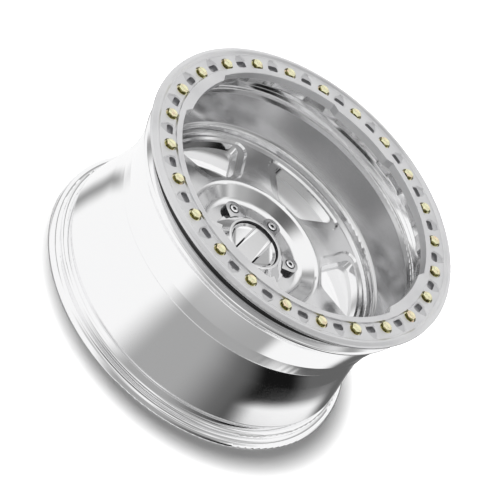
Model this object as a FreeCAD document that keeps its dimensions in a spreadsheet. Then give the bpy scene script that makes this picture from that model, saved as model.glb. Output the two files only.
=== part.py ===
import FreeCAD, Part
import Sketcher
import math
import os

# A bare 17 x 9 inch alloy wheel with a bolted bead-clamp ring, lying on its rear flange.
# The axis is Z, the face looks up, and z = 0 is the rear face of the rear flange.
# +X runs along a spoke. Pockets are counted from +X, and the bolts stand half a step further on.
# All lengths are millimetres and all angles are degrees.

SIZES = {
    # rim
    "rimWidth": 228.6,              # between the clamp face and the inner face of the rear flange
    "seatRadius": 218.3,            # both bead seats
    "rearFlangeRadius": 235.6,
    "rearFlangeDepth": 14.0,        # from the rear face to the flange's inner face
    "rearFlangeCurl": 9.5,          # radius over the flange's edge
    "rearFootRadius": 226.5,        # inner edge of the ring that the wheel rests on
    "barrelWall": 6.5,
    "humpRise": 2.1,
    "rearSeatWidth": 20.8,
    "wellRadius": 196.6,            # smallest outside radius, behind the disc
    "wellHeight": 84.0,
    # front of the barrel
    "frontHumpRise": 4.0,
    "frontHumpHeight": 217.2,
    "taperTopRadius": 213.5,
    "taperTopHeight": 203.5,
    "taperFootRadius": 202.8,
    "taperFootHeight": 155.7,
    "bandRadius": 201.3,
    "bandFootHeight": 135.2,
    # bolted front flange
    "flangeRadius": 215.2,
    "flangeTop": 246.6,
    "shoulderHeight": 227.3,
    "bossCount": 24,
    "bossInnerRadius": 192.3,       # also the inner radius of the ring
    "bossFoot": 238.2,
    "bossAngle": 7.5,
    "throatRadius": 204.7,          # barrel's inner wall between the bosses
    "throatTop": 226.2,
    "coveRadius": 207.4,
    "coveTop": 216.5,
    "coveFoot": 209.0,
    "wallTopRadius": 203.4,
    "wallTopHeight": 198.8,
    "wallFootRadius": 188.4,
    "wallFootHeight": 152.6,
    "beadCrownRadius": 183.2,
    "beadCrownHeight": 149.5,
    "beadFootRadius": 180.8,
    # disc
    "discFace": 139.4,
    "discBack": 116.0,
    "stepRadius": 172.6,            # a shallow step in the face, just outside the windows
    "stepDepth": 0.9,
    "crestRadius": 99.0,            # where the flat face turns down into the hub bowl
    "crestBlend": 10.0,
    "padRadius": 78.5,
    "padFace": 125.0,
    "padBlend": 16.0,
    "hubRadius": 80.0,
    "hubBack": 90.3,                # mounting face
    "hubBoreRadius": 53.05,
    "capBoreRadius": 54.3,          # wider front end of the bore, which takes the cap's spigot
    "capBoreFoot": 112.0,
    "hubDraft": 6.0,
    # windows: a sloping rim, a flat ledge and a straight-walled opening
    "windowCount": 6,
    "windowFirstAngle": 30.0,
    "windowInner": 102.6,
    "windowInnerHalf": 30.5,
    "windowOuter": 178.9,
    "windowShoulder": 158.5,
    "windowShoulderHalf": 75.5,
    "windowInnerCorner": 26.0,
    "windowOuterCorner": 15.0,
    "windowCrown": 172.8,
    "windowLedge": 2.6,             # depth of the ledge below the face
    "openingInner": 108.2,
    "openingInnerHalf": 18.5,
    "openingOuter": 172.5,
    "openingShoulder": 157.2,
    "openingShoulderHalf": 57.3,
    "openingInnerCorner": 16.0,
    "openingOuterCorner": 9.0,
    "openingCrown": 166.6,
    # valve hole, on the side away from the photograph's view
    "valveHoleRadius": 5.75,
    "valveHoleHeight": 172.0,
    "valveFlatRadius": 9.0,         # flat seats round the hole on both sides of the wall
    "valveFlatInner": 196.8,
    "valveFlatOuter": 204.6,
    # clamp ring
    "ringLand": 255.7,
    "ringLipTop": 258.9,
    "ringLipRadius": 200.5,
    "ringRegister": 0.5,            # play between the ring's step and the flange
    "ringClampRadius": 227.0,
    "ringGroove": 223.4,
    "ringCrest": 229.2,
    "ringCrestTop": 258.0,
    "ringRadius": 236.5,
    "ringEdgeTop": 254.6,
    "ringEdgeFoot": 250.6,
    "tabCount": 4,
    "tabRadius": 186.0,
    "tabHalfAngle": 14.0,
    "tabRootAngle": 18.0,
    "ringSpotFace": 251.4,          # seat sunk into the land under each washer
    "ringSpotRadius": 9.3,
    "recessInner": 202.8,           # shallow arch-shaped recess between the bolts
    "recessHalf": 9.3,
    "recessWaist": 214.5,
    "recessOuter": 224.0,
    "recessOuterHalf": 3.4,
    "recessDepth": 1.7,
    "pocketInner": 204.4,           # deeper pocket in the inner half of the recess
    "pocketOuter": 213.6,
    "pocketHalf": 7.6,
    "pocketDepth": 6.4,
    "pocketCorner": 3.5,
    "witnessRadius": 1.9,           # one small hole, at the outer end of the pocket on -Y
    "witnessCircle": 214.0,
    # ring bolts and washers
    "boltCircle": 209.55,
    "boltAcross": 12.7,
    "boltHeadHeight": 6.3,
    "boltShankRadius": 3.97,
    "boltLength": 22.0,
    "boltPlay": 0.45,
    "threadPlay": 0.05,
    "boltHoleDepth": 18.0,
    "washerRadius": 8.7,
    "washerThickness": 1.6,
    # centre cap
    "capSkirtRadius": 56.6,
    "capSkirtEdge": 1.4,
    "capBezelTop": 139.5,
    "capBezelOuter": 40.4,
    "capBezelInner": 36.8,
    "capFloor": 131.0,
    "capShell": 3.0,
    "capSpigotPlay": 0.45,
    "capSpigotDepth": 6.0,
    "armCount": 6,
    "armFirstAngle": 30.0,
    "armRoot": 40.0,
    "armRootHalf": 14.2,
    "armEndHalf": 12.2,
    "armTop": 132.2,
    "armCounterbore": 7.6,
    "armSeat": 128.4,
    "capDiscPlay": 0.3,
    "capDiscThickness": 3.2,
    "capDiscDish": 1.2,
    # cap screws
    "screwCircle": 60.5,
    "screwHeadRadius": 6.4,
    "screwHeadHeight": 5.0,
    "screwShankRadius": 3.0,
    "screwLength": 20.0,
    "screwPlay": 0.3,
    "screwSocketAcross": 5.0,
    "screwSocketDepth": 3.0,
    "screwHoleDepth": 20.0,
}

doc = FreeCAD.newDocument("car_wheel")
sheet = doc.addObject("Spreadsheet::Sheet", "sizes")
for row, (word, number) in enumerate(SIZES.items(), start=1):
    sheet.set("A%d" % row, word)
    sheet.set("B%d" % row, str(number))
    sheet.setAlias("B%d" % row, word)
doc.recompute()

# Heights and radii that follow from the driving sizes, as expressions on the sheet.
CLAMP_FACE = "(sizes.rearFlangeDepth + sizes.rimWidth)"
BOLT_SEAT = "(sizes.ringSpotFace + sizes.washerThickness)"
BOLT_STEP = "(360 / sizes.bossCount)"
REAR_HUMP = "(sizes.rearFlangeDepth + sizes.rearSeatWidth)"
REAR_WALL = "(sizes.seatRadius - sizes.barrelWall)"
WELL_WALL = "(sizes.wellRadius - sizes.barrelWall)"
ARM_END = "(sizes.screwCircle + sizes.armEndHalf)"


def value(text):
    return float(sheet.evalExpression(text))


def body_of(name):
    body = doc.addObject("PartDesign::Body", name)
    body.Label = name
    return body


def origin_of(body, role):
    return next(item for item in body.Origin.OriginFeatures if item.Role == role)


def sketch_on(body, name, plane, height=None, turn=None):
    sketch = body.newObject("Sketcher::SketchObject", name)
    sketch.AttachmentSupport = (origin_of(body, plane), [""])
    sketch.MapMode = "FlatFace"
    if height:
        sketch.setExpression("AttachmentOffset.Base.z", height)
    if turn:
        sketch.setExpression("AttachmentOffset.Rotation.Angle", turn)
    return sketch


# A closed outline through corners, each (across, up) or (across, up, rounding radius) as expressions.
def draw_outline(sketch, corners):
    points = [FreeCAD.Vector(value(corner[0]), value(corner[1]), 0) for corner in corners]
    count = len(points)
    entries = []
    exits = []
    arcs = {}
    for index, corner in enumerate(corners):
        here = points[index]
        back = (points[index - 1] - here).normalize()
        ahead = (points[(index + 1) % count] - here).normalize()
        if len(corner) == 2:
            entries.append(here)
            exits.append(here)
            continue
        radius = value(corner[2])
        half_angle = back.getAngle(ahead) / 2
        reach = radius / math.tan(half_angle)
        centre = here + (back + ahead).normalize() * (radius / math.sin(half_angle))
        entries.append(here + back * reach)
        exits.append(here + ahead * reach)
        arcs[index] = (centre, radius, back.cross(ahead).z < 0)
    geometry = [Part.LineSegment(exits[i], entries[(i + 1) % count]) for i in range(count)]
    rules = []
    arc_index = {}
    for index, (centre, radius, left_turn) in arcs.items():
        first, last = (entries[index], exits[index]) if left_turn else (exits[index], entries[index])
        start = math.atan2(first.y - centre.y, first.x - centre.x)
        end = math.atan2(last.y - centre.y, last.x - centre.x)
        circle = Part.Circle(centre, FreeCAD.Vector(0, 0, 1), radius)
        arc_index[index] = len(geometry)
        geometry.append(Part.ArcOfCircle(circle, start, end))
    sketch.addGeometry(geometry, False)
    bound = []
    for index, corner in enumerate(corners):
        before = (index - 1) % count
        if index in arcs:
            arc = arc_index[index]
            first, last = (1, 2) if arcs[index][2] else (2, 1)
            apex = sketch.addGeometry(Part.Point(points[index]), True)
            rules.append(Sketcher.Constraint("Tangent", before, 2, arc, first))
            rules.append(Sketcher.Constraint("Tangent", arc, last, index, 1))
            rules.append(Sketcher.Constraint("PointOnObject", apex, 1, before))
            rules.append(Sketcher.Constraint("PointOnObject", apex, 1, index))
            bound.append((len(rules), corner[2]))
            rules.append(Sketcher.Constraint("Radius", arc, value(corner[2])))
        else:
            apex = index
            rules.append(Sketcher.Constraint("Coincident", before, 2, index, 1))
        bound.append((len(rules), corner[0]))
        rules.append(Sketcher.Constraint("DistanceX", -1, 1, apex, 1, points[index].x))
        bound.append((len(rules), corner[1]))
        rules.append(Sketcher.Constraint("DistanceY", -1, 1, apex, 1, points[index].y))
    sketch.addConstraint(rules)
    for place, text in bound:
        sketch.setExpression("Constraints[%d]" % place, text)


# Circles, each (across, up, radius) as expressions.
def draw_circles(sketch, circles):
    for across, up, radius in circles:
        centre = FreeCAD.Vector(value(across), value(up), 0)
        circle = sketch.addGeometry(Part.Circle(centre, FreeCAD.Vector(0, 0, 1), value(radius)), False)
        for kind, text in (("DistanceX", across), ("DistanceY", up)):
            rule = sketch.addConstraint(Sketcher.Constraint(kind, -1, 1, circle, 3, value(text)))
            sketch.setExpression("Constraints[%d]" % rule, text)
        rule = sketch.addConstraint(Sketcher.Constraint("Radius", circle, value(radius)))
        sketch.setExpression("Constraints[%d]" % rule, radius)


# A hexagon of a given size across its flats, centred at (across, up).
def draw_hexagon(sketch, across, up, flats):
    corners = []
    for step in range(6):
        angle = 30 + 60 * step
        reach = "(%s) / sqrt(3)" % flats
        corners.append(("%s + %s * cos(%d)" % (across, reach, angle), "%s + %s * sin(%d)" % (up, reach, angle)))
    draw_outline(sketch, corners)


def revolve(body, name, corners):
    sketch = sketch_on(body, name + "_profile", "XZ_Plane")
    draw_outline(sketch, corners)
    turned = body.newObject("PartDesign::Revolution", name)
    turned.Profile = (sketch, [""])
    turned.ReferenceAxis = (sketch, ["V_Axis"])
    turned.Angle = 360
    return turned


def pad(body, sketch, name, length):
    feature = body.newObject("PartDesign::Pad", name)
    feature.Profile = (sketch, [""])
    feature.setExpression("Length", length)
    return feature


# Cuts towards -Z of the sketch's plane; with no depth it cuts right through, both ways.
def pocket(body, sketch, name, depth=None, taper=None):
    feature = body.newObject("PartDesign::Pocket", name)
    feature.Profile = (sketch, [""])
    if depth is None:
        feature.SideType = "Symmetric"
        feature.Type = "ThroughAll"
    else:
        feature.setExpression("Length", depth)
    if taper:
        feature.setExpression("TaperAngle", taper)
    return feature


def repeat_round(body, features, name, count):
    pattern = body.newObject("PartDesign::PolarPattern", name)
    pattern.Originals = features
    pattern.Axis = (origin_of(body, "Z_Axis"), [""])
    pattern.Angle = 360
    pattern.setExpression("Occurrences", count)
    body.Tip = pattern
    return pattern


def polar(radius, angle):
    return "(%s) * cos(%s)" % (radius, angle), "(%s) * sin(%s)" % (radius, angle)


def wheel_profile():
    outside = [
        ("sizes.flangeRadius", "sizes.flangeTop", "0.8"),
        ("sizes.flangeRadius", "sizes.shoulderHeight + 3.2", "1.5"),
        ("sizes.seatRadius + 0.5", "sizes.shoulderHeight", "1"),
        ("sizes.seatRadius + sizes.frontHumpRise", "sizes.frontHumpHeight", "5"),
        ("sizes.taperTopRadius", "sizes.taperTopHeight", "10"),
        ("sizes.taperFootRadius", "sizes.taperFootHeight", "2"),
        ("sizes.bandRadius", "sizes.bandFootHeight", "1"),
        ("sizes.bandRadius - 1.9", "sizes.bandFootHeight - 2.6", "1.5"),
        ("sizes.wellRadius", "sizes.wellHeight", "28"),
        ("sizes.seatRadius + sizes.humpRise", REAR_HUMP, "3"),
        ("sizes.seatRadius - 0.4", REAR_HUMP + " - 7.3", "3"),
        ("sizes.seatRadius + 0.7", "sizes.rearFlangeDepth", "6.5"),
        ("sizes.rearFlangeRadius", "sizes.rearFlangeDepth", "sizes.rearFlangeCurl"),
        ("sizes.rearFlangeRadius", "0", "3.5"),
        ("sizes.rearFootRadius", "0", "2"),
    ]
    back = [
        ("sizes.rearFootRadius - 4", "sizes.rearFlangeDepth - 7", "3"),
        (REAR_WALL, "sizes.rearFlangeDepth - 6", "4"),
        (REAR_WALL, REAR_HUMP + " + 2", "10"),
        (WELL_WALL, "sizes.wellHeight - 2", "28"),
        (WELL_WALL + " + 0.5", "sizes.discBack", "10"),
        ("sizes.hubRadius + sizes.hubDraft", "sizes.discBack", "8"),
        ("sizes.hubRadius", "sizes.hubBack", "2"),
        ("sizes.hubBoreRadius", "sizes.hubBack", "1.5"),
        ("sizes.hubBoreRadius", "sizes.capBoreFoot"),
    ]
    front = [
        ("sizes.capBoreRadius", "sizes.capBoreFoot"),
        ("sizes.capBoreRadius", "sizes.padFace", "1"),
        ("sizes.padRadius", "sizes.padFace", "sizes.padBlend"),
        ("sizes.crestRadius", "sizes.discFace", "sizes.crestBlend"),
        ("sizes.stepRadius", "sizes.discFace"),
        ("sizes.stepRadius + sizes.stepDepth", "sizes.discFace - sizes.stepDepth"),
        ("sizes.beadFootRadius", "sizes.discFace - sizes.stepDepth", "1.2"),
        ("sizes.beadCrownRadius", "sizes.beadCrownHeight", "6"),
        ("sizes.wallFootRadius - 1.2", "sizes.wallFootHeight - 0.6", "0.5"),
        ("sizes.wallFootRadius", "sizes.wallFootHeight", "0.6"),
        ("sizes.wallTopRadius", "sizes.wallTopHeight", "3"),
        ("sizes.wallTopRadius", "sizes.coveFoot - 1.8", "2"),
        ("sizes.coveRadius", "sizes.coveFoot", "1.5"),
        ("sizes.coveRadius", "sizes.coveTop", "1.5"),
        ("sizes.throatRadius", "sizes.coveTop + 2", "2"),
        ("sizes.throatRadius", "sizes.throatTop", "2"),
        ("sizes.bossInnerRadius", "sizes.bossFoot", "1"),
        ("sizes.bossInnerRadius", "sizes.flangeTop", "0.6"),
    ]
    return outside + back + front


def build_wheel():
    body = body_of("wheel_body")
    revolve(body, "rim_and_disc", wheel_profile())

    # gaps between the bolt bosses
    sketch = sketch_on(body, "boss_gap_outline", "XY_Plane", "sizes.flangeTop")
    half = "(%s - sizes.bossAngle) / 2" % BOLT_STEP
    inner = polar("sizes.bossInnerRadius - 2", half)
    outer = polar("sizes.throatRadius", half)
    draw_outline(sketch, [
        (inner[0], "-(%s)" % inner[1]),
        (outer[0], "-(%s)" % outer[1], "1.5"),
        (outer[0], outer[1], "1.5"),
        inner,
    ])
    gap = pocket(body, sketch, "boss_gap", "sizes.flangeTop - sizes.throatTop - 0.5")
    repeat_round(body, [gap], "boss_gaps", "sizes.bossCount")

    # threaded holes for the ring bolts
    sketch = sketch_on(body, "bolt_hole_outline", "XY_Plane", "sizes.flangeTop", BOLT_STEP + " / 2")
    draw_circles(sketch, [("sizes.boltCircle", "0", "sizes.boltShankRadius + sizes.threadPlay")])
    hole = pocket(body, sketch, "bolt_hole", "sizes.boltHoleDepth")
    repeat_round(body, [hole], "bolt_holes", "sizes.bossCount")

    # windows: a sloping rim, a flat ledge, and the opening through the disc
    sketch = sketch_on(body, "window_rim_outline", "XY_Plane", "sizes.discFace", "sizes.windowFirstAngle")
    draw_outline(sketch, window_outline("window"))
    rim = pocket(body, sketch, "window_rim", "sizes.windowLedge", "-45")
    sketch = sketch_on(body, "window_opening_outline", "XY_Plane", "sizes.discFace", "sizes.windowFirstAngle")
    draw_outline(sketch, window_outline("opening"))
    opening = pocket(body, sketch, "window_opening", "sizes.discFace - sizes.discBack + 4")
    repeat_round(body, [rim, opening], "windows", "sizes.windowCount")

    # threaded holes for the cap screws
    sketch = sketch_on(body, "screw_hole_outline", "XY_Plane", "sizes.padFace", "sizes.armFirstAngle")
    draw_circles(sketch, [("sizes.screwCircle", "0", "sizes.screwShankRadius + sizes.threadPlay")])
    hole = pocket(body, sketch, "screw_hole", "sizes.screwHoleDepth")
    repeat_round(body, [hole], "screw_holes", "sizes.armCount")

    # valve hole through the front taper, on -X, between two flat seats
    for name, start, radius, length in (
        ("valve_hole", None, "sizes.valveHoleRadius", "sizes.seatRadius + 10"),
        ("valve_flat_inside", None, "sizes.valveFlatRadius", "sizes.valveFlatInner"),
        ("valve_flat_outside", "-sizes.valveFlatOuter", "sizes.valveFlatRadius", "20"),
    ):
        sketch = sketch_on(body, name + "_outline", "YZ_Plane", start)
        draw_circles(sketch, [("0", "sizes.valveHoleHeight", radius)])
        pocket(body, sketch, name, length)
    return body


def window_outline(kind):
    inner, half = "sizes.%sInner" % kind, "sizes.%sInnerHalf" % kind
    shoulder, wide = "sizes.%sShoulder" % kind, "sizes.%sShoulderHalf" % kind
    inner_corner, outer_corner = "sizes.%sInnerCorner" % kind, "sizes.%sOuterCorner" % kind
    return [
        (inner, "-" + half, inner_corner),
        (shoulder, "-" + wide, outer_corner),
        ("sizes.%sOuter" % kind, "0", "sizes.%sCrown" % kind),
        (shoulder, wide, outer_corner),
        (inner, half, inner_corner),
    ]


def build_ring():
    body = body_of("beadlock_ring")
    revolve(body, "ring_section", [
        ("sizes.bossInnerRadius", "sizes.flangeTop"),
        ("sizes.flangeRadius + sizes.ringRegister", "sizes.flangeTop"),
        ("sizes.flangeRadius + sizes.ringRegister", CLAMP_FACE),
        ("sizes.ringClampRadius", CLAMP_FACE, "3"),
        ("sizes.ringRadius", "sizes.ringEdgeFoot", "1"),
        ("sizes.ringRadius", "sizes.ringEdgeTop", "2.5"),
        ("sizes.ringCrest + 1.2", "sizes.ringCrestTop", "3"),
        ("sizes.ringCrest - 1.2", "sizes.ringCrestTop", "1"),
        ("sizes.ringGroove + 1", "sizes.ringLand - 0.6", "2"),
        ("sizes.ringGroove", "sizes.ringLand"),
        ("sizes.ringLipRadius + 1", "sizes.ringLand", "0.8"),
        ("sizes.ringLipRadius", "sizes.ringLipTop", "0.8"),
        ("sizes.bossInnerRadius", "sizes.ringLipTop", "0.8"),
    ])

    # four tabs that reach inward, trimmed to their own radius
    sketch = sketch_on(body, "tab_outline", "XY_Plane", "sizes.flangeTop")
    corners = []
    for share in (-1, -0.5, 0, 0.5, 1):
        corners.append(polar("sizes.bossInnerRadius + 3", "%s * sizes.tabRootAngle" % share))
    for share in (1, -1):
        tip = polar("sizes.tabRadius - 0.5", "%s * sizes.tabHalfAngle" % share)
        corners.append((tip[0], tip[1], "4"))
    draw_outline(sketch, corners)
    tab = pad(body, sketch, "tab", "sizes.ringLipTop - sizes.flangeTop")
    repeat_round(body, [tab], "tabs", "sizes.tabCount")
    sketch = sketch_on(body, "tab_trim_outline", "XY_Plane", "sizes.ringLipTop")
    draw_circles(sketch, [("0", "0", "sizes.tabRadius")])
    pocket(body, sketch, "tab_trim")

    # bolt holes, each with a seat for its washer
    sketch = sketch_on(body, "spot_face_outline", "XY_Plane", "sizes.ringLipTop", BOLT_STEP + " / 2")
    draw_circles(sketch, [("sizes.boltCircle", "0", "sizes.ringSpotRadius")])
    seat = pocket(body, sketch, "spot_face", "sizes.ringLipTop - sizes.ringSpotFace")
    sketch = sketch_on(body, "bolt_hole_outline", "XY_Plane", "sizes.ringLipTop", BOLT_STEP + " / 2")
    draw_circles(sketch, [("sizes.boltCircle", "0", "sizes.boltShankRadius + sizes.boltPlay")])
    hole = pocket(body, sketch, "bolt_hole")
    repeat_round(body, [seat, hole], "bolt_holes", "sizes.bossCount")

    # arch-shaped recesses with sloping sides, each with a deeper pocket in its inner half
    sketch = sketch_on(body, "recess_outline", "XY_Plane", "sizes.ringLand")
    half = [
        ("sizes.recessInner", "sizes.recessHalf", "4.5"),
        ("sizes.recessWaist", "sizes.recessHalf", "6"),
        ("sizes.recessOuter", "sizes.recessOuterHalf", "3"),
    ]
    other = [(across, "-" + up, radius) for across, up, radius in half]
    draw_outline(sketch, other + half[::-1])
    recess = pocket(body, sketch, "recess", "sizes.recessDepth", "-45")
    sketch = sketch_on(body, "pocket_outline", "XY_Plane", "sizes.ringLand")
    draw_outline(sketch, [
        ("sizes.pocketInner", "-sizes.pocketHalf", "sizes.pocketCorner"),
        ("sizes.pocketOuter", "-sizes.pocketHalf", "sizes.pocketCorner"),
        ("sizes.pocketOuter", "sizes.pocketHalf", "sizes.pocketCorner"),
        ("sizes.pocketInner", "sizes.pocketHalf", "sizes.pocketCorner"),
    ])
    deep = pocket(body, sketch, "pocket", "sizes.pocketDepth")
    repeat_round(body, [recess, deep], "pockets", "sizes.bossCount")
    sketch = sketch_on(body, "witness_outline", "XY_Plane", "sizes.ringLand")
    draw_circles(sketch, [("0", "-sizes.witnessCircle", "sizes.witnessRadius")])
    pocket(body, sketch, "witness_hole", "sizes.pocketDepth")
    return body


def build_bolt(number):
    body = body_of("ring_bolt_%02d" % number)
    sketch = sketch_on(body, "head_outline", "XY_Plane", BOLT_SEAT)
    draw_hexagon(sketch, "0", "0", "sizes.boltAcross")
    pad(body, sketch, "head", "sizes.boltHeadHeight")
    top = "%s + sizes.boltHeadHeight" % BOLT_SEAT
    sketch = sketch_on(body, "head_corner_outline", "XZ_Plane")
    draw_outline(sketch, [
        ("sizes.boltAcross * 0.47", top),
        ("sizes.boltAcross * 0.7", top + " - sizes.boltAcross * 0.12"),
        ("sizes.boltAcross * 0.7", top + " + 1"),
        ("sizes.boltAcross * 0.47", top + " + 1"),
    ])
    groove = body.newObject("PartDesign::Groove", "head_corners")
    groove.Profile = (sketch, [""])
    groove.ReferenceAxis = (sketch, ["V_Axis"])
    groove.Angle = 360
    sketch = sketch_on(body, "shank_outline", "XY_Plane", BOLT_SEAT + " - sizes.boltLength")
    draw_circles(sketch, [("0", "0", "sizes.boltShankRadius")])
    pad(body, sketch, "shank", "sizes.boltLength + 0.5")
    place = polar("sizes.boltCircle", "%s * (%d - 0.5)" % (BOLT_STEP, number))
    body.setExpression("Placement.Base.x", place[0])
    body.setExpression("Placement.Base.y", place[1])
    body.setExpression("Placement.Rotation.Angle", "%s * (%d - 0.5)" % (BOLT_STEP, number))
    return body


def build_washers():
    body = body_of("bolt_washers")
    body.AllowCompound = True
    sketch = sketch_on(body, "washer_outline", "XY_Plane", "sizes.ringSpotFace", BOLT_STEP + " / 2")
    draw_circles(sketch, [
        ("sizes.boltCircle", "0", "sizes.washerRadius"),
        ("sizes.boltCircle", "0", "sizes.boltShankRadius + sizes.boltPlay"),
    ])
    washer = pad(body, sketch, "washer", "sizes.washerThickness")
    repeat_round(body, [washer], "washers", "sizes.bossCount")
    return body


def build_cap():
    body = body_of("centre_cap")
    spigot = "sizes.capBoreRadius - sizes.capSpigotPlay"
    revolve(body, "cap_shell", [
        ("0", "sizes.capFloor"),
        ("sizes.capBezelInner - 0.8", "sizes.capFloor", "0.5"),
        ("sizes.capBezelInner", "sizes.capBezelTop", "0.8"),
        ("sizes.capBezelOuter", "sizes.capBezelTop", "1.5"),
        ("sizes.capSkirtRadius", "sizes.padFace + sizes.capSkirtEdge", "0.6"),
        ("sizes.capSkirtRadius", "sizes.padFace"),
        (spigot, "sizes.padFace"),
        (spigot, "sizes.padFace - sizes.capSpigotDepth", "0.8"),
        (spigot + " - sizes.capShell", "sizes.padFace - sizes.capSpigotDepth", "0.8"),
        (spigot + " - sizes.capShell", "sizes.padFace - 1", "2"),
        ("sizes.capBezelInner", "sizes.capFloor - sizes.capShell", "2"),
        ("0", "sizes.capFloor - sizes.capShell"),
    ])

    # six arms, each with a screw seat sunk into its rounded end
    sketch = sketch_on(body, "arm_outline", "XY_Plane", "sizes.padFace", "sizes.armFirstAngle")
    draw_outline(sketch, [
        ("sizes.armRoot", "-sizes.armRootHalf"),
        (ARM_END, "-sizes.armEndHalf", "sizes.armEndHalf - 0.3"),
        (ARM_END, "sizes.armEndHalf", "sizes.armEndHalf - 0.3"),
        ("sizes.armRoot", "sizes.armRootHalf"),
    ])
    arm = pad(body, sketch, "arm", "sizes.armTop - sizes.padFace")
    repeat_round(body, [arm], "arms", "sizes.armCount")
    doc.recompute()

    # the arms stop outside the bezel and the hollow back
    sketch = sketch_on(body, "recess_outline", "XY_Plane", "sizes.capBezelTop")
    draw_circles(sketch, [("0", "0", "sizes.capBezelInner - 0.8")])
    pocket(body, sketch, "recess", "sizes.capBezelTop - sizes.capFloor")

    sketch = sketch_on(body, "seat_outline", "XY_Plane", "sizes.armTop + 4", "sizes.armFirstAngle")
    draw_circles(sketch, [("sizes.screwCircle", "0", "sizes.armCounterbore")])
    seat = pocket(body, sketch, "screw_seat", "sizes.armTop + 4 - sizes.armSeat")
    sketch = sketch_on(body, "hole_outline", "XY_Plane", "sizes.armTop", "sizes.armFirstAngle")
    draw_circles(sketch, [("sizes.screwCircle", "0", "sizes.screwShankRadius + sizes.screwPlay")])
    hole = pocket(body, sketch, "screw_hole", "sizes.armTop - sizes.padFace + 1")
    repeat_round(body, [seat, hole], "screw_seats", "sizes.armCount")
    return body


def build_cap_disc():
    body = body_of("cap_disc")
    edge = "sizes.capBezelInner - 0.8 - sizes.capDiscPlay"
    top = "sizes.capFloor + sizes.capDiscThickness"
    revolve(body, "disc_section", [
        ("0", "sizes.capFloor"),
        (edge, "sizes.capFloor"),
        (edge, top, "0.6"),
        ("(%s) * 0.86" % edge, top, "1"),
        ("(%s) * 0.82" % edge, top + " - sizes.capDiscDish", "1"),
        ("(%s) * 0.45" % edge, top + " - sizes.capDiscDish", "1"),
        ("(%s) * 0.40" % edge, top, "1"),
        ("0", top),
    ])
    return body


def build_screw(number):
    body = body_of("cap_screw_%d" % number)
    top = "sizes.armSeat + sizes.screwHeadHeight"
    revolve(body, "screw_section", [
        ("0", top),
        ("sizes.screwHeadRadius", top, "0.8"),
        ("sizes.screwHeadRadius", "sizes.armSeat"),
        ("sizes.screwShankRadius", "sizes.armSeat"),
        ("sizes.screwShankRadius", "sizes.armSeat - sizes.screwLength"),
        ("0", "sizes.armSeat - sizes.screwLength"),
    ])
    sketch = sketch_on(body, "socket_outline", "XY_Plane", top)
    draw_hexagon(sketch, "0", "0", "sizes.screwSocketAcross")
    pocket(body, sketch, "socket", "sizes.screwSocketDepth")
    angle = "sizes.armFirstAngle + 360 / sizes.armCount * %d" % (number - 1)
    place = polar("sizes.screwCircle", angle)
    body.setExpression("Placement.Base.x", place[0])
    body.setExpression("Placement.Base.y", place[1])
    body.setExpression("Placement.Rotation.Angle", angle)
    return body


pieces = [build_wheel(), build_ring()]
pieces += [build_bolt(number + 1) for number in range(int(value("sizes.bossCount")))]
pieces += [build_washers(), build_cap(), build_cap_disc()]
pieces += [build_screw(number + 1) for number in range(int(value("sizes.armCount")))]
doc.recompute()

for item in doc.Objects:
    if "Invalid" in item.State or "Error" in item.State:
        raise RuntimeError("%s did not compute: %s" % (item.Name, item.State))
for piece in pieces:
    if piece.Shape.isNull() or not piece.Shape.isValid():
        raise RuntimeError("%s has no valid shape" % piece.Label)

os.makedirs("parts", exist_ok=True)
for piece in pieces:
    piece.Shape.exportStep("parts/%s.step" % piece.Label)
    print("%-16s solids %2d  volume %10.0f mm3" % (piece.Label, len(piece.Shape.Solids), piece.Shape.Volume))
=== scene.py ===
import math

import bpy
from mathutils import Matrix, Vector


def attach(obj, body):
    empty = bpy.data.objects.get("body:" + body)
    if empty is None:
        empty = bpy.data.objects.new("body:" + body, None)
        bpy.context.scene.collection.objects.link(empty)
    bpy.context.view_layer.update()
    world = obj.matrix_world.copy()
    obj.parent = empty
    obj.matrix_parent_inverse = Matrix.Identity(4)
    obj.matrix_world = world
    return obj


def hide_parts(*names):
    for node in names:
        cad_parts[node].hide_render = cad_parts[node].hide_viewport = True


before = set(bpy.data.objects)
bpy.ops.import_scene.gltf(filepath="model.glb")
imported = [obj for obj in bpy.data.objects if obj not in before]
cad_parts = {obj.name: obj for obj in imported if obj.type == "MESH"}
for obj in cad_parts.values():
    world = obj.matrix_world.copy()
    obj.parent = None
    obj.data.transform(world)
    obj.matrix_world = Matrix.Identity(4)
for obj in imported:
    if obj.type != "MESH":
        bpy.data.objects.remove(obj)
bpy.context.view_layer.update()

bpy.context.scene.view_settings.view_transform = "Standard"
print("stage: frame loaded")


# camera: the photograph's angle, in metres in the wheel's own frame
camera = {
    "place": (-0.02297, -3.4011, 2.7973),
    "right": (0.70786, 0.43327, 0.55786),
    "up": (-0.70633, 0.44041, 0.55420),
    "back": (-0.00557, -0.78633, 0.61778),
    "lens": 234.93,
    "sensor": 36,
    "farClip": 60,
}


def addCamera(v):
    data = bpy.data.cameras.new("photoCamera")
    data.lens = v["lens"]
    data.sensor_width = v["sensor"]
    data.clip_end = v["farClip"]
    obj = bpy.data.objects.new("photoCamera", data)
    bpy.context.scene.collection.objects.link(obj)
    axes = Matrix((Vector(v["right"]), Vector(v["up"]), Vector(v["back"])))
    turn = axes.transposed().to_4x4()
    turn.translation = Vector(v["place"])
    obj.matrix_world = turn
    bpy.context.scene.camera = obj


addCamera(camera)


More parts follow.
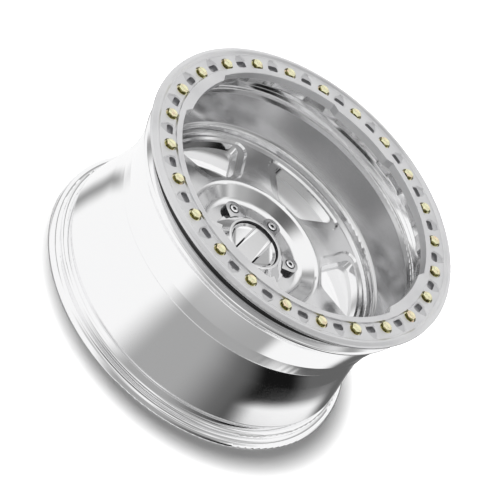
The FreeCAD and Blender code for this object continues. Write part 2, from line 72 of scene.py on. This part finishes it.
# node helpers
class Nodes:
    def __init__(self, tree):
        self.tree = tree
        self.across = 0

    def add(self, kind, **settings):
        node = self.tree.nodes.new(kind)
        self.across += 180
        node.location = (self.across, 0)
        for key, setting in settings.items():
            setattr(node, key, setting)
        return node

    def join(self, start, end):
        self.tree.links.new(start, end)

    def feed(self, value, socket):
        # the value is a number or another node's output
        if isinstance(value, (int, float)):
            socket.default_value = value
        else:
            self.join(value, socket)

    def math(self, kind, *values):
        node = self.add("ShaderNodeMath", operation=kind)
        for value, socket in zip(values, node.inputs):
            self.feed(value, socket)
        return node.outputs[0]


def ramp(n, value, low, high, first=0, last=1, kind="LINEAR"):
    node = n.add("ShaderNodeMapRange", interpolation_type=kind)
    n.join(value, node.inputs["Value"])
    node.inputs["From Min"].default_value = low
    node.inputs["From Max"].default_value = high
    node.inputs["To Min"].default_value = first
    node.inputs["To Max"].default_value = last
    return node.outputs["Result"]


def newMaterial(name):
    material = bpy.data.materials.new(name)
    material.use_nodes = True
    shader = material.node_tree.nodes["Principled BSDF"]
    return material, Nodes(material.node_tree), shader


# light: a white studio whose walls hold soft bright and dark panels
studio = {
    "level": 1.0,
    "onFloor": 0.20,                # share of this light that the floor gets, for a deep shadow
    "panels": [
        # bearing, half width, soft edge, height, half height, soft edge, lean, brightness;
        # in degrees, the lean in degrees of height per degree of bearing; the last one covers
        (306, 50, 26, -22, 46, 16, 0, 0.4),
        (20, 68, 36, -28, 18, 4, 0, 0.13),
        (-1, 21, 22, -31.5, 13, 4, 0, 0.008),
        (18, 34, 22, -17.8, 10, 2, -0.15, 1.0),
        (30, 40, 14, -58, 12, 4, 0, 1.0),
        (142, 8, 18, -26, 14, 14, 0, 0.34),
        (90, 104, 24, 34, 4, 7, 0, 0.34),
        (0, 34, 30, 52, 11, 14, 0, 0.45),
        (252, 24, 26, 30, 14, 16, 0, 0.55),
        (316, 17, 16, 36, 5, 9, 0, 0.15),
        (292, 76, 44, 66, 9, 16, 0, 0.24),
        (268, 46, 40, 75, 4, 7, 0, 0.05),
    ],
}


def softEdge(n, distance, half, soft):
    # 1 near the middle, 0 beyond the half width, with the soft edge between
    return ramp(n, n.math("ABSOLUTE", distance), half + soft / 2, half - soft / 2, 0, 1, "SMOOTHSTEP")


def whiteLight(n, strength):
    light = n.add("ShaderNodeBackground")
    light.inputs["Color"].default_value = (1, 1, 1, 1)
    n.feed(strength, light.inputs["Strength"])
    return light.outputs[0]


def buildWorld(v):
    world = bpy.data.worlds.new("studio")
    bpy.context.scene.world = world
    world.use_nodes = True
    world.node_tree.nodes.clear()
    n = Nodes(world.node_tree)
    parts = n.add("ShaderNodeSeparateXYZ")
    n.join(n.add("ShaderNodeTexCoord").outputs["Generated"], parts.inputs[0])
    x, y, z = parts.outputs
    bearing = n.math("DEGREES", n.math("ARCTAN2", y, x))
    height = n.math("DEGREES", n.math("ARCSINE", z))
    total = n.math("ADD", v["level"], 0)
    for aim, wide, softWide, level, tall, softTall, lean, bright in v["panels"]:
        aside = n.math("WRAP", n.math("SUBTRACT", bearing, aim), 180, -180)
        rise = n.math("SUBTRACT", n.math("MULTIPLY_ADD", aside, -lean, height), level)
        mask = n.math("MULTIPLY", softEdge(n, aside, wide, softWide), softEdge(n, rise, tall, softTall))
        total = n.math("MULTIPLY_ADD", n.math("SUBTRACT", bright, total), mask, total)
    path = n.add("ShaderNodeLightPath")
    share = n.math("MULTIPLY_ADD", path.outputs["Is Diffuse Ray"], v["onFloor"] - 1, 1)
    mix = n.add("ShaderNodeMixShader")
    n.join(path.outputs["Is Camera Ray"], mix.inputs[0])
    n.join(whiteLight(n, n.math("MULTIPLY", total, share)), mix.inputs[1])
    n.join(whiteLight(n, 1), mix.inputs[2])
    n.join(mix.outputs[0], n.add("ShaderNodeOutputWorld").inputs["Surface"])


buildWorld(studio)

floor = {
    "size": 14.0,
    "drop": 0.0006,
    "glow": 0.04,
    "tint": (0.86, 0.86, 0.86, 1),
    "rough": 0.9,
}


def buildFloor(v):
    bpy.ops.object.select_all(action="DESELECT")
    bpy.ops.mesh.primitive_plane_add(size=v["size"], location=(0, 0, -v["drop"]))
    plane = bpy.context.active_object
    plane.name = "studioFloor"
    bpy.ops.object.transform_apply(location=True, rotation=False, scale=False)
    material, n, shader = newMaterial("studioFloor")
    shader.inputs["Base Color"].default_value = v["tint"]
    shader.inputs["Roughness"].default_value = v["rough"]
    shader.inputs["Specular IOR Level"].default_value = 0
    shader.inputs["Emission Color"].default_value = (1, 1, 1, 1)
    shader.inputs["Emission Strength"].default_value = v["glow"]
    plane.data.materials.append(material)
    plane.visible_glossy = False


buildFloor(floor)

lamps = [
    # name, place, aim, size, watts
    ("keyLamp", (-0.20, 0.20, 3.4), (0, 0, 0.1), 0.9, 240.0),
]


def buildLamps(rows):
    for name, place, aim, size, watts in rows:
        data = bpy.data.lights.new(name, "AREA")
        data.shape = "DISK"
        data.size = size
        data.energy = watts
        obj = bpy.data.objects.new(name, data)
        bpy.context.scene.collection.objects.link(obj)
        obj.location = place
        obj.rotation_euler = (Vector(aim) - Vector(place)).to_track_quat("-Z", "Y").to_euler()
        obj.visible_glossy = False


buildLamps(lamps)
print("stage: studio ready")


# finishes, all drawn from Object coordinates in metres
def newMetal(name, colour):
    material, n, shader = newMaterial(name)
    shader.inputs["Base Color"].default_value = colour + (1,)
    shader.inputs["Metallic"].default_value = 1
    return material, n, shader


def roundCoordinates(n):
    place = n.add("ShaderNodeSeparateXYZ")
    n.join(n.add("ShaderNodeTexCoord").outputs["Object"], place.inputs[0])
    x, y, z = place.outputs
    squares = n.math("ADD", n.math("MULTIPLY", x, x), n.math("MULTIPLY", y, y))
    return n.math("SQRT", squares), z


def streaks(n, radius, z, scale, detail):
    # noise that is constant round the axis, as a lathe leaves it
    vector = n.add("ShaderNodeCombineXYZ")
    n.join(n.math("MULTIPLY", radius, scale), vector.inputs[0])
    n.join(n.math("MULTIPLY", z, scale), vector.inputs[1])
    noise = n.add("ShaderNodeTexNoise")
    n.join(vector.outputs[0], noise.inputs["Vector"])
    noise.inputs["Scale"].default_value = 1
    noise.inputs["Detail"].default_value = detail
    return noise.outputs["Fac"]


def cloud(n, scale, detail):
    noise = n.add("ShaderNodeTexNoise")
    n.join(n.add("ShaderNodeTexCoord").outputs["Object"], noise.inputs["Vector"])
    noise.inputs["Scale"].default_value = scale
    noise.inputs["Detail"].default_value = detail
    return noise.outputs["Fac"]


def band(n, value, low, high, edge):
    # 1 between low and high, fading to 0 over the edge
    rise = ramp(n, value, low - edge, low)
    fall = ramp(n, value, high, high + edge, 1, 0)
    return n.math("MULTIPLY", rise, fall)


def upright(n, low, high):
    # 1 on faces that stand upright, 0 on faces that look up
    parts = n.add("ShaderNodeSeparateXYZ")
    n.join(n.add("ShaderNodeTexCoord").outputs["Normal"], parts.inputs[0])
    return ramp(n, n.math("ABSOLUTE", parts.outputs["Z"]), low, high, 1, 0)


def patches(n, scale, detail, low, high):
    return ramp(n, cloud(n, scale, detail), low, high)


def paint(n, shader, mask, colour):
    # lays the colour over the one that the shader has, where the mask is 1
    base = shader.inputs["Base Color"]
    mix = n.add("ShaderNodeMix", data_type="RGBA")
    n.join(mask, mix.inputs["Factor"])
    if base.links:
        n.join(base.links[0].from_socket, mix.inputs["A"])
    else:
        mix.inputs["A"].default_value = base.default_value
    mix.inputs["B"].default_value = colour + (1,)
    n.join(mix.outputs["Result"], base)


def bump(n, shader, height, strength, distance):
    node = n.add("ShaderNodeBump")
    node.inputs["Strength"].default_value = strength
    node.inputs["Distance"].default_value = distance
    n.join(height, node.inputs["Height"])
    n.join(node.outputs["Normal"], shader.inputs["Normal"])


polish = {
    "metal": (0.93, 0.93, 0.935),
    "disc": (0.90, 0.90, 0.905),        # finely turned disc, its colour a little darker as painted shade inside the wheel
    "rim": (0.64, 0.64, 0.645),         # wall of the dish above the disc, coloured darker: painted shade
    "grooveShade": (0.06, 0.06, 0.06),         # painted shade: near-black in the groove under the clamp ring, where shade falls
    # where each zone fades in or out, by radius or height
    "dishRadius": (0.2040, 0.2044),
    "dishHeight": (0.1120, 0.1126),
    "rimHeight": (0.1480, 0.1520),
    "wallHeight": (0.1225, 0.1240),     # window walls, below this height
    "grooveRadius": (0.2140, 0.2144),
    "grooveHeight": (0.2285, 0.2480, 0.0008),
    "clouds": (9, 5),
    "cloudReach": (0.35, 0.65),
    "rough": (0.06, 0.10),
    "dishRough": (0.10, 0.16),
    "wallRough": 0.32,                  # added to the rest
    "lines": (2600, 3),
    "lineBump": (0.25, 0.000012),
}


def polishedAlloy(v):
    material, n, shader = newMetal("polishedAlloy", v["metal"])
    radius, z = roundCoordinates(n)
    within = ramp(n, radius, *v["dishRadius"], 1, 0)
    dish = n.math("MULTIPLY", within, ramp(n, z, *v["dishHeight"]))
    rim = n.math("MULTIPLY", within, ramp(n, z, *v["rimHeight"]))
    beyond = ramp(n, radius, *v["grooveRadius"])
    # painted shade: mask of the groove under the clamp ring
    grooveShadeMask = n.math("MULTIPLY", beyond, band(n, z, *v["grooveHeight"]))
    # painted shade: the disc, the rim wall and the groove are coloured darker where shade falls
    for mask, colour in ((dish, v["disc"]), (rim, v["rim"]), (grooveShadeMask, v["grooveShade"])):
        paint(n, shader, mask, colour)
    lines = streaks(n, radius, z, *v["lines"])
    spread = n.math("MULTIPLY", n.math("ADD", lines, cloud(n, *v["clouds"])), 0.5)
    mirror = ramp(n, spread, *v["cloudReach"], *v["rough"])
    turned = ramp(n, spread, *v["cloudReach"], *v["dishRough"])
    extra = n.math("MULTIPLY", n.math("SUBTRACT", turned, mirror), dish)
    wall = n.math("MULTIPLY", within, ramp(n, z, *v["wallHeight"], v["wallRough"], 0))
    n.join(n.math("ADD", n.math("ADD", mirror, extra), wall), shader.inputs["Roughness"])
    bump(n, shader, lines, *v["lineBump"])
    return material


satin = {
    "metal": (0.73, 0.73, 0.74),
    "bright": (0.80, 0.80, 0.805),
    # painted shade inside the sunk pockets of the ring
    "pocket": (0.46, 0.46, 0.47),
    "pocketRadius": (0.2026, 0.2246, 0.0004),
    "pocketHeight": (0.2531, 0.2547),   # sunk below the ring's face
    "clouds": (24, 5),
    "brightReach": (0.35, 0.70),
    "roughReach": (0.3, 0.7),
    "rough": (0.34, 0.46),
    "grain": (900, 3),
    "grainBump": (0.18, 0.00004),
}


def satinAlloy(v):
    material, n, shader = newMetal("satinAlloy", v["metal"])
    radius, z = roundCoordinates(n)
    patch = cloud(n, *v["clouds"])
    inside = band(n, radius, *v["pocketRadius"])
    sunk = ramp(n, z, *v["pocketHeight"], 1, 0)
    paint(n, shader, ramp(n, patch, *v["brightReach"]), v["bright"])
    # painted shade: the sunk pockets of the ring are coloured darker
    paint(n, shader, n.math("MULTIPLY", inside, sunk), v["pocket"])
    n.join(ramp(n, patch, *v["roughReach"], *v["rough"]), shader.inputs["Roughness"])
    bump(n, shader, cloud(n, *v["grain"]), *v["grainBump"])
    return material


# metals with one masked colour, a clouded roughness and a fine grain; the masked colour is random tone
# on the zinc tops, painted shade on the zinc sides and the steel, and painted reflection on the chrome
zincTop = {
    "metal": (0.95, 0.93, 0.62),
    "maskedColour": (0.95, 0.74, 0.54),
    "maskReach": (160, 4, 0.48, 0.70),
    "clouds": (420, 3),
    "roughReach": (0.3, 0.7),
    "rough": (0.208, 0.338),
    "grain": (1500, 2),
    "grainBump": (0.12, 0.00004),
}
# darker copy of the zinc for the sides of the bolt heads: painted shade
zincShadedSide = dict(zincTop, metal=(0.50, 0.47, 0.20), maskedColour=(0.16, 0.14, 0.05))
chrome = {
    "metal": (0.95, 0.95, 0.955),
    "maskedColour": (0.06, 0.06, 0.062),      # painted reflection: upright faces darkened, as if they mirror only the dark bowl round them
    "maskReach": (0.45, 0.85),
    "clouds": (60, 5),
    "roughReach": (0.3, 0.7),
    "rough": (0.03, 0.08),
    "grain": (260, 2),
    "grainBump": (0.10, 0.00008),
}
steel = {
    "metal": (0.92, 0.92, 0.93),
    # painted shade: upright faces of the screw heads coloured near-black
    "maskedColour": (0.03, 0.03, 0.03),
    "maskReach": (0.55, 0.90),
    "clouds": (220, 4),
    "roughReach": (0.3, 0.7),
    "rough": (0.06, 0.14),
    "grain": (1200, 2),
    "grainBump": (0.10, 0.00004),
}


def maskedMetal(name, v, mask):
    material, n, shader = newMetal(name, v["metal"])
    paint(n, shader, mask(n, *v["maskReach"]), v["maskedColour"])
    patch = cloud(n, *v["clouds"])
    n.join(ramp(n, patch, *v["roughReach"], *v["rough"]), shader.inputs["Roughness"])
    bump(n, shader, cloud(n, *v["grain"]), *v["grainBump"])
    return material


finishes = {
    "polished": polishedAlloy(polish),
    "satin": satinAlloy(satin),
    "zinc": maskedMetal("yellowZinc", zincTop, patches),
    "zincShadedSide": maskedMetal("yellowZincShadedSide", zincShadedSide, patches),
    "chrome": maskedMetal("capChrome", chrome, upright),
    "steel": maskedMetal("screwSteel", steel, upright),
}
nodeFinish = {
    "wheel_body": "polished",
    "beadlock_ring": "satin",
    "bolt_washers": "zinc",
    "centre_cap": "chrome",
    "cap_disc": "chrome",
}


def setFinish(obj, *names):
    obj.data.materials.clear()
    for name in names:
        obj.data.materials.append(finishes[name])


for name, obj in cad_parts.items():
    setFinish(obj, nodeFinish.get(name, "zinc" if name.startswith("ring_bolt") else "steel"))
print("stage: finishes set")


# modelling helpers
def clearSelection():
    if bpy.context.mode != "OBJECT":
        bpy.ops.object.mode_set(mode="OBJECT")
    bpy.ops.object.select_all(action="DESELECT")


def selectOnly(*chosen):
    # the last one becomes the active object
    clearSelection()
    for obj in chosen:
        obj.select_set(True)
    bpy.context.view_layer.objects.active = chosen[-1]


def applyPlace():
    bpy.ops.object.transform_apply(location=True, rotation=True, scale=True)


def pick(obj, wanted, kind="FACE"):
    # leaves edit mode on, with only what the test wants selected
    bpy.ops.object.mode_set(mode="EDIT")
    bpy.ops.mesh.select_mode(type=kind)
    bpy.ops.mesh.select_all(action="DESELECT")
    bpy.ops.object.mode_set(mode="OBJECT")
    mesh = obj.data
    items = {"FACE": mesh.polygons, "VERT": mesh.vertices}[kind]
    for item in items:
        item.select = wanted(item)
    bpy.ops.object.mode_set(mode="EDIT")


def facesUp(height):
    return lambda face: face.normal.z > 0.9 and abs(face.center.z - height) < 1e-5


def facesDown(face):
    return face.normal.z < -0.9


def extrudeUp(height):
    bpy.ops.mesh.extrude_region_move(TRANSFORM_OT_translate={"value": (0, 0, height)})


def shrink(share):
    bpy.ops.transform.resize(value=(share, share, 1))


def takeCylinder(name, radius, low, high, sides):
    clearSelection()
    bpy.ops.mesh.primitive_cylinder_add(vertices=sides, radius=radius, depth=high - low,
                                        location=(0, 0, (low + high) / 2))
    obj = bpy.context.active_object
    obj.name = name
    applyPlace()
    return obj


def applyModifier(obj, kind, **settings):
    selectOnly(obj)
    change = obj.modifiers.new("change", kind)
    for key, setting in settings.items():
        setattr(change, key, setting)
    bpy.ops.object.modifier_apply(modifier=change.name)


def applyBoolean(obj, tool, kind):
    applyModifier(obj, "BOOLEAN", operation=kind, solver="EXACT", object=tool)
    bpy.data.objects.remove(tool, do_unlink=True)


def bevelEdges(obj, width, angle):
    applyModifier(obj, "BEVEL", width=width, segments=2, limit_method="ANGLE",
                  angle_limit=math.radians(angle), harden_normals=False)


def smooth(obj, angle):
    selectOnly(obj)
    bpy.ops.object.shade_smooth_by_angle(angle=math.radians(angle))


def placeCopy(source, name, radius, turn):
    selectOnly(source)
    bpy.ops.object.duplicate(linked=False)
    obj = bpy.context.active_object
    obj.name = name
    obj.rotation_euler = (0, 0, turn)
    obj.location = (radius * math.cos(turn), radius * math.sin(turn), 0)
    applyPlace()
    return obj


# ring bolt: a hexagon head with a turned corner, and its shank
ringBolt = {
    "circle": 0.20955,
    "count": 24,
    "across": 0.0127,
    "seat": 0.2530,
    "head": 0.0063,
    "blankShare": 1.01,             # turned blank, as a share of the corner radius
    "blankSides": 96,
    "topRadius": 0.00590,
    "cornerDrop": 0.00085,
    "rimInset": 0.0009,
    "markInset": 0.0005,
    "markDepth": 0.00012,
    "faceRadius": 0.0061,           # washer face under the head
    "faceHeight": 0.0004,
    "faceSides": 64,
    "shankRadius": 0.00397,
    "shank": 0.0220,
    "shankSides": 48,
    "tip": 0.0006,
    "faceOverlap": 0.0002,
    "shankOverlap": 0.0003,
    "edge": 0.00022,
    "bevelAngle": 25,
    "smoothAngle": 24,
    "sideLimit": 0.35,              # faces steeper than this have the painted-shade side finish
}


def buildRingBolt(v):
    foot = v["seat"]
    top = foot + v["head"]
    corner = v["across"] / math.sqrt(3)
    shoulder = top - v["cornerDrop"]
    blankRadius = corner * v["blankShare"]
    head = takeCylinder("ringBoltSource", corner, foot + v["faceHeight"], top, 6)
    blank = takeCylinder("turnedBlank", blankRadius, foot, shoulder, v["blankSides"])
    pick(blank, facesUp(shoulder))
    extrudeUp(v["cornerDrop"])
    shrink(v["topRadius"] / blankRadius)
    applyBoolean(head, blank, "INTERSECT")
    bevelEdges(head, v["edge"], v["bevelAngle"])
    pick(head, facesUp(top))
    bpy.ops.mesh.inset(thickness=v["rimInset"], depth=0)
    bpy.ops.mesh.inset(thickness=v["markInset"], depth=-v["markDepth"])
    bpy.ops.object.mode_set(mode="OBJECT")
    washerFace = takeCylinder("washerFace", v["faceRadius"], foot,
                              foot + v["faceHeight"] + v["faceOverlap"], v["faceSides"])
    shank = takeCylinder("shank", v["shankRadius"], foot - v["shank"] + v["tip"],
                         foot + v["shankOverlap"], v["shankSides"])
    pick(shank, facesDown)
    bpy.ops.mesh.inset(thickness=v["tip"], depth=v["tip"])
    selectOnly(washerFace, shank, head)
    bpy.ops.object.join()
    # the side faces take the darker zinc copy: painted shade
    setFinish(head, "zinc", "zincShadedSide")
    for face in head.data.polygons:
        face.material_index = 1 if abs(face.normal.z) < v["sideLimit"] else 0
    smooth(head, v["smoothAngle"])
    return head


source = buildRingBolt(ringBolt)
for number in range(1, ringBolt["count"] + 1):
    turn = 2 * math.pi / ringBolt["count"] * (number - 0.5)
    bolt = placeCopy(source, "ringBolt_%02d" % number, ringBolt["circle"], turn)
    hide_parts("ring_bolt_%02d" % number)
    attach(bolt, "root")
bpy.data.objects.remove(source, do_unlink=True)
print("stage: ring bolts made")


# cap screw: a round head with a hexagon socket
capScrew = {
    "circle": 0.0605,
    "count": 6,
    "first": 30,
    "seat": 0.1284,
    "headRadius": 0.0064,
    "headSides": 72,
    "head": 0.0050,
    "crown": 0.0011,
    "crownSteps": ((0.65, 0.95), (0.35, 0.88)),     # share of the crown, share of the radius
    "socket": 0.0050,
    "socketDepth": 0.0030,
    "socketPast": 0.002,
    "shankRadius": 0.0030,
    "shank": 0.0200,
    "shankSides": 48,
    "shankOverlap": 0.0003,
    "tip": 0.0005,
    "edge": 0.00025,
    "bevelAngle": 40,
    "smoothAngle": 30,
}


def buildCapScrew(v):
    foot = v["seat"]
    top = foot + v["head"]
    shoulder = top - v["crown"]
    head = takeCylinder("capScrewSource", v["headRadius"], foot, shoulder, v["headSides"])
    pick(head, facesUp(shoulder))
    for rise, share in v["crownSteps"]:
        extrudeUp(v["crown"] * rise)
        shrink(share)
    bpy.ops.mesh.select_all(action="DESELECT")
    bpy.ops.object.mode_set(mode="OBJECT")
    socket = takeCylinder("socket", v["socket"] / math.sqrt(3), top - v["socketDepth"],
                          top + v["socketPast"], 6)
    applyBoolean(head, socket, "DIFFERENCE")
    bevelEdges(head, v["edge"], v["bevelAngle"])
    shank = takeCylinder("screwShank", v["shankRadius"], foot - v["shank"],
                         foot + v["shankOverlap"], v["shankSides"])
    pick(shank, facesDown)
    bpy.ops.mesh.inset(thickness=v["tip"], depth=v["tip"])
    selectOnly(shank, head)
    bpy.ops.object.join()
    setFinish(head, "steel")
    smooth(head, v["smoothAngle"])
    return head


source = buildCapScrew(capScrew)
for number in range(1, capScrew["count"] + 1):
    turn = math.radians(capScrew["first"]) + 2 * math.pi / capScrew["count"] * (number - 1)
    screw = placeCopy(source, "capScrew_%d" % number, capScrew["circle"], turn)
    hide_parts("cap_screw_%d" % number)
    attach(screw, "root")
bpy.data.objects.remove(source, do_unlink=True)
print("stage: cap screws made")


# centre piece of the cap: a plain bar between two hollows
capDisc = {
    "radius": 0.0357,
    "sides": 144,
    "foot": 0.1310,
    "top": 0.1356,
    "rim": 0.0012,
    "barHalf": 0.0134,
    "hollow": 0.0028,
    "arcPoints": 12,                # the round faces have more points than this
    "edge": 0.0003,
    "bevelAngle": 30,
    "smoothAngle": 28,
}


def buildCapDisc(v):
    disc = takeCylinder("capDiscPlate", v["radius"], v["foot"], v["top"], v["sides"])
    pick(disc, facesUp(v["top"]))
    bpy.ops.mesh.inset(thickness=v["rim"], depth=0)
    for side in (1, -1):
        bpy.ops.object.mode_set(mode="OBJECT")
        pick(disc, facesUp(v["top"]))
        bpy.ops.mesh.bisect(plane_co=(side * v["barHalf"], 0, 0), plane_no=(1, 0, 0))
    bpy.ops.object.mode_set(mode="OBJECT")
    pick(disc, lambda face: (face.normal.z > 0.9 and abs(face.center.x) > v["barHalf"]
                             and len(face.vertices) > v["arcPoints"]))
    bpy.ops.mesh.inset(thickness=v["hollow"], depth=-v["hollow"], use_individual=True)
    bpy.ops.object.mode_set(mode="OBJECT")
    bevelEdges(disc, v["edge"], v["bevelAngle"])
    setFinish(disc, "chrome")
    smooth(disc, v["smoothAngle"])
    return disc


plate = buildCapDisc(capDisc)
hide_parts("cap_disc")
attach(plate, "root")
print("stage: cap disc made")


# outside of the barrel: a turned skin from the rear hump to the front shoulder
barrelSkin = {
    # radius, height and rounding of each corner, from the rear to the front
    "corners": [
        (0.2168, 0.0290, 0),
        (0.2206, 0.0350, 0.0030),
        (0.2124, 0.0740, 0.5000),
        (0.2054, 0.1180, 0.1600),
        (0.2053, 0.1384, 0.0015),
        (0.2072, 0.1410, 0.0010),
        (0.2086, 0.1603, 0.0020),
        (0.2190, 0.2078, 0.0100),
        (0.2273, 0.2210, 0.0050),
        (0.2191, 0.2272, 0.0010),
        (0.2160, 0.2290, 0),
    ],
    "depth": 0.0020,
    "steps": 240,
    "arcStep": 1.3,                 # degrees of a rounding per segment
    "fewestSegments": 3,
    "merge": 0.00002,
    "seed": 0.01,
    "valveHeight": 0.1720,
    "valveRadius": 0.0090,
    "valveMiddle": 0.2072,
    "valveReach": 0.02,
    "valveSides": 48,
    "smoothAngle": 22,
}


def roundCorner(obj, before, here, after, v):
    point = Vector((here[0], 0, here[1]))
    arms = [(Vector(end[:2]) - Vector(here[:2])).normalized() for end in (before, after)]
    turn = math.pi - arms[0].angle(arms[1])
    segments = max(v["fewestSegments"], round(math.degrees(turn) / v["arcStep"]))
    pick(obj, lambda vertex: (vertex.co - point).length < 1e-6, "VERT")
    bpy.ops.mesh.bevel(offset=here[2] * math.tan(turn / 2), segments=segments, affect="VERTICES")
    bpy.ops.object.mode_set(mode="OBJECT")


def drawProfile(v):
    # a closed line: the corners, then the same ones inward by the depth
    corners = [corner[:2] for corner in v["corners"]]
    inner = [(radius - v["depth"], height) for radius, height in corners[-2:0:-1]]
    path = corners + inner + corners[:1]
    clearSelection()
    bpy.ops.mesh.primitive_plane_add(size=v["seed"], location=(path[0][0], 0, path[0][1]))
    skin = bpy.context.active_object
    skin.name = "barrelSkin"
    applyPlace()
    bpy.ops.object.mode_set(mode="EDIT")
    bpy.ops.mesh.select_mode(type="VERT")
    bpy.ops.mesh.select_all(action="SELECT")
    bpy.ops.mesh.merge(type="CENTER")
    for last, here in zip(path, path[1:]):
        step = (here[0] - last[0], 0, here[1] - last[1])
        bpy.ops.mesh.extrude_vertices_move(TRANSFORM_OT_translate={"value": step})
    bpy.ops.mesh.select_all(action="SELECT")
    bpy.ops.mesh.remove_doubles(threshold=v["merge"])
    bpy.ops.object.mode_set(mode="OBJECT")
    for before, here, after in zip(v["corners"], v["corners"][1:], v["corners"][2:]):
        roundCorner(skin, before, here, after, v)
    return skin


def buildBarrelSkin(v):
    skin = drawProfile(v)
    bpy.ops.object.mode_set(mode="EDIT")
    bpy.ops.mesh.select_all(action="SELECT")
    bpy.ops.mesh.spin(steps=v["steps"], angle=2 * math.pi, center=(0, 0, 0), axis=(0, 0, 1))
    bpy.ops.mesh.select_all(action="SELECT")
    bpy.ops.mesh.remove_doubles(threshold=v["merge"])
    bpy.ops.mesh.normals_make_consistent(inside=False)
    bpy.ops.object.mode_set(mode="OBJECT")
    hole = takeCylinder("valveOpening", v["valveRadius"], -v["valveReach"], v["valveReach"],
                        v["valveSides"])
    hole.rotation_euler = (0, math.pi / 2, 0)
    hole.location = (-v["valveMiddle"], 0, v["valveHeight"])
    applyPlace()
    applyBoolean(skin, hole, "DIFFERENCE")
    setFinish(skin, "polished")
    smooth(skin, v["smoothAngle"])
    return skin


skin = buildBarrelSkin(barrelSkin)
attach(skin, "root")
print("stage: barrel skin made")
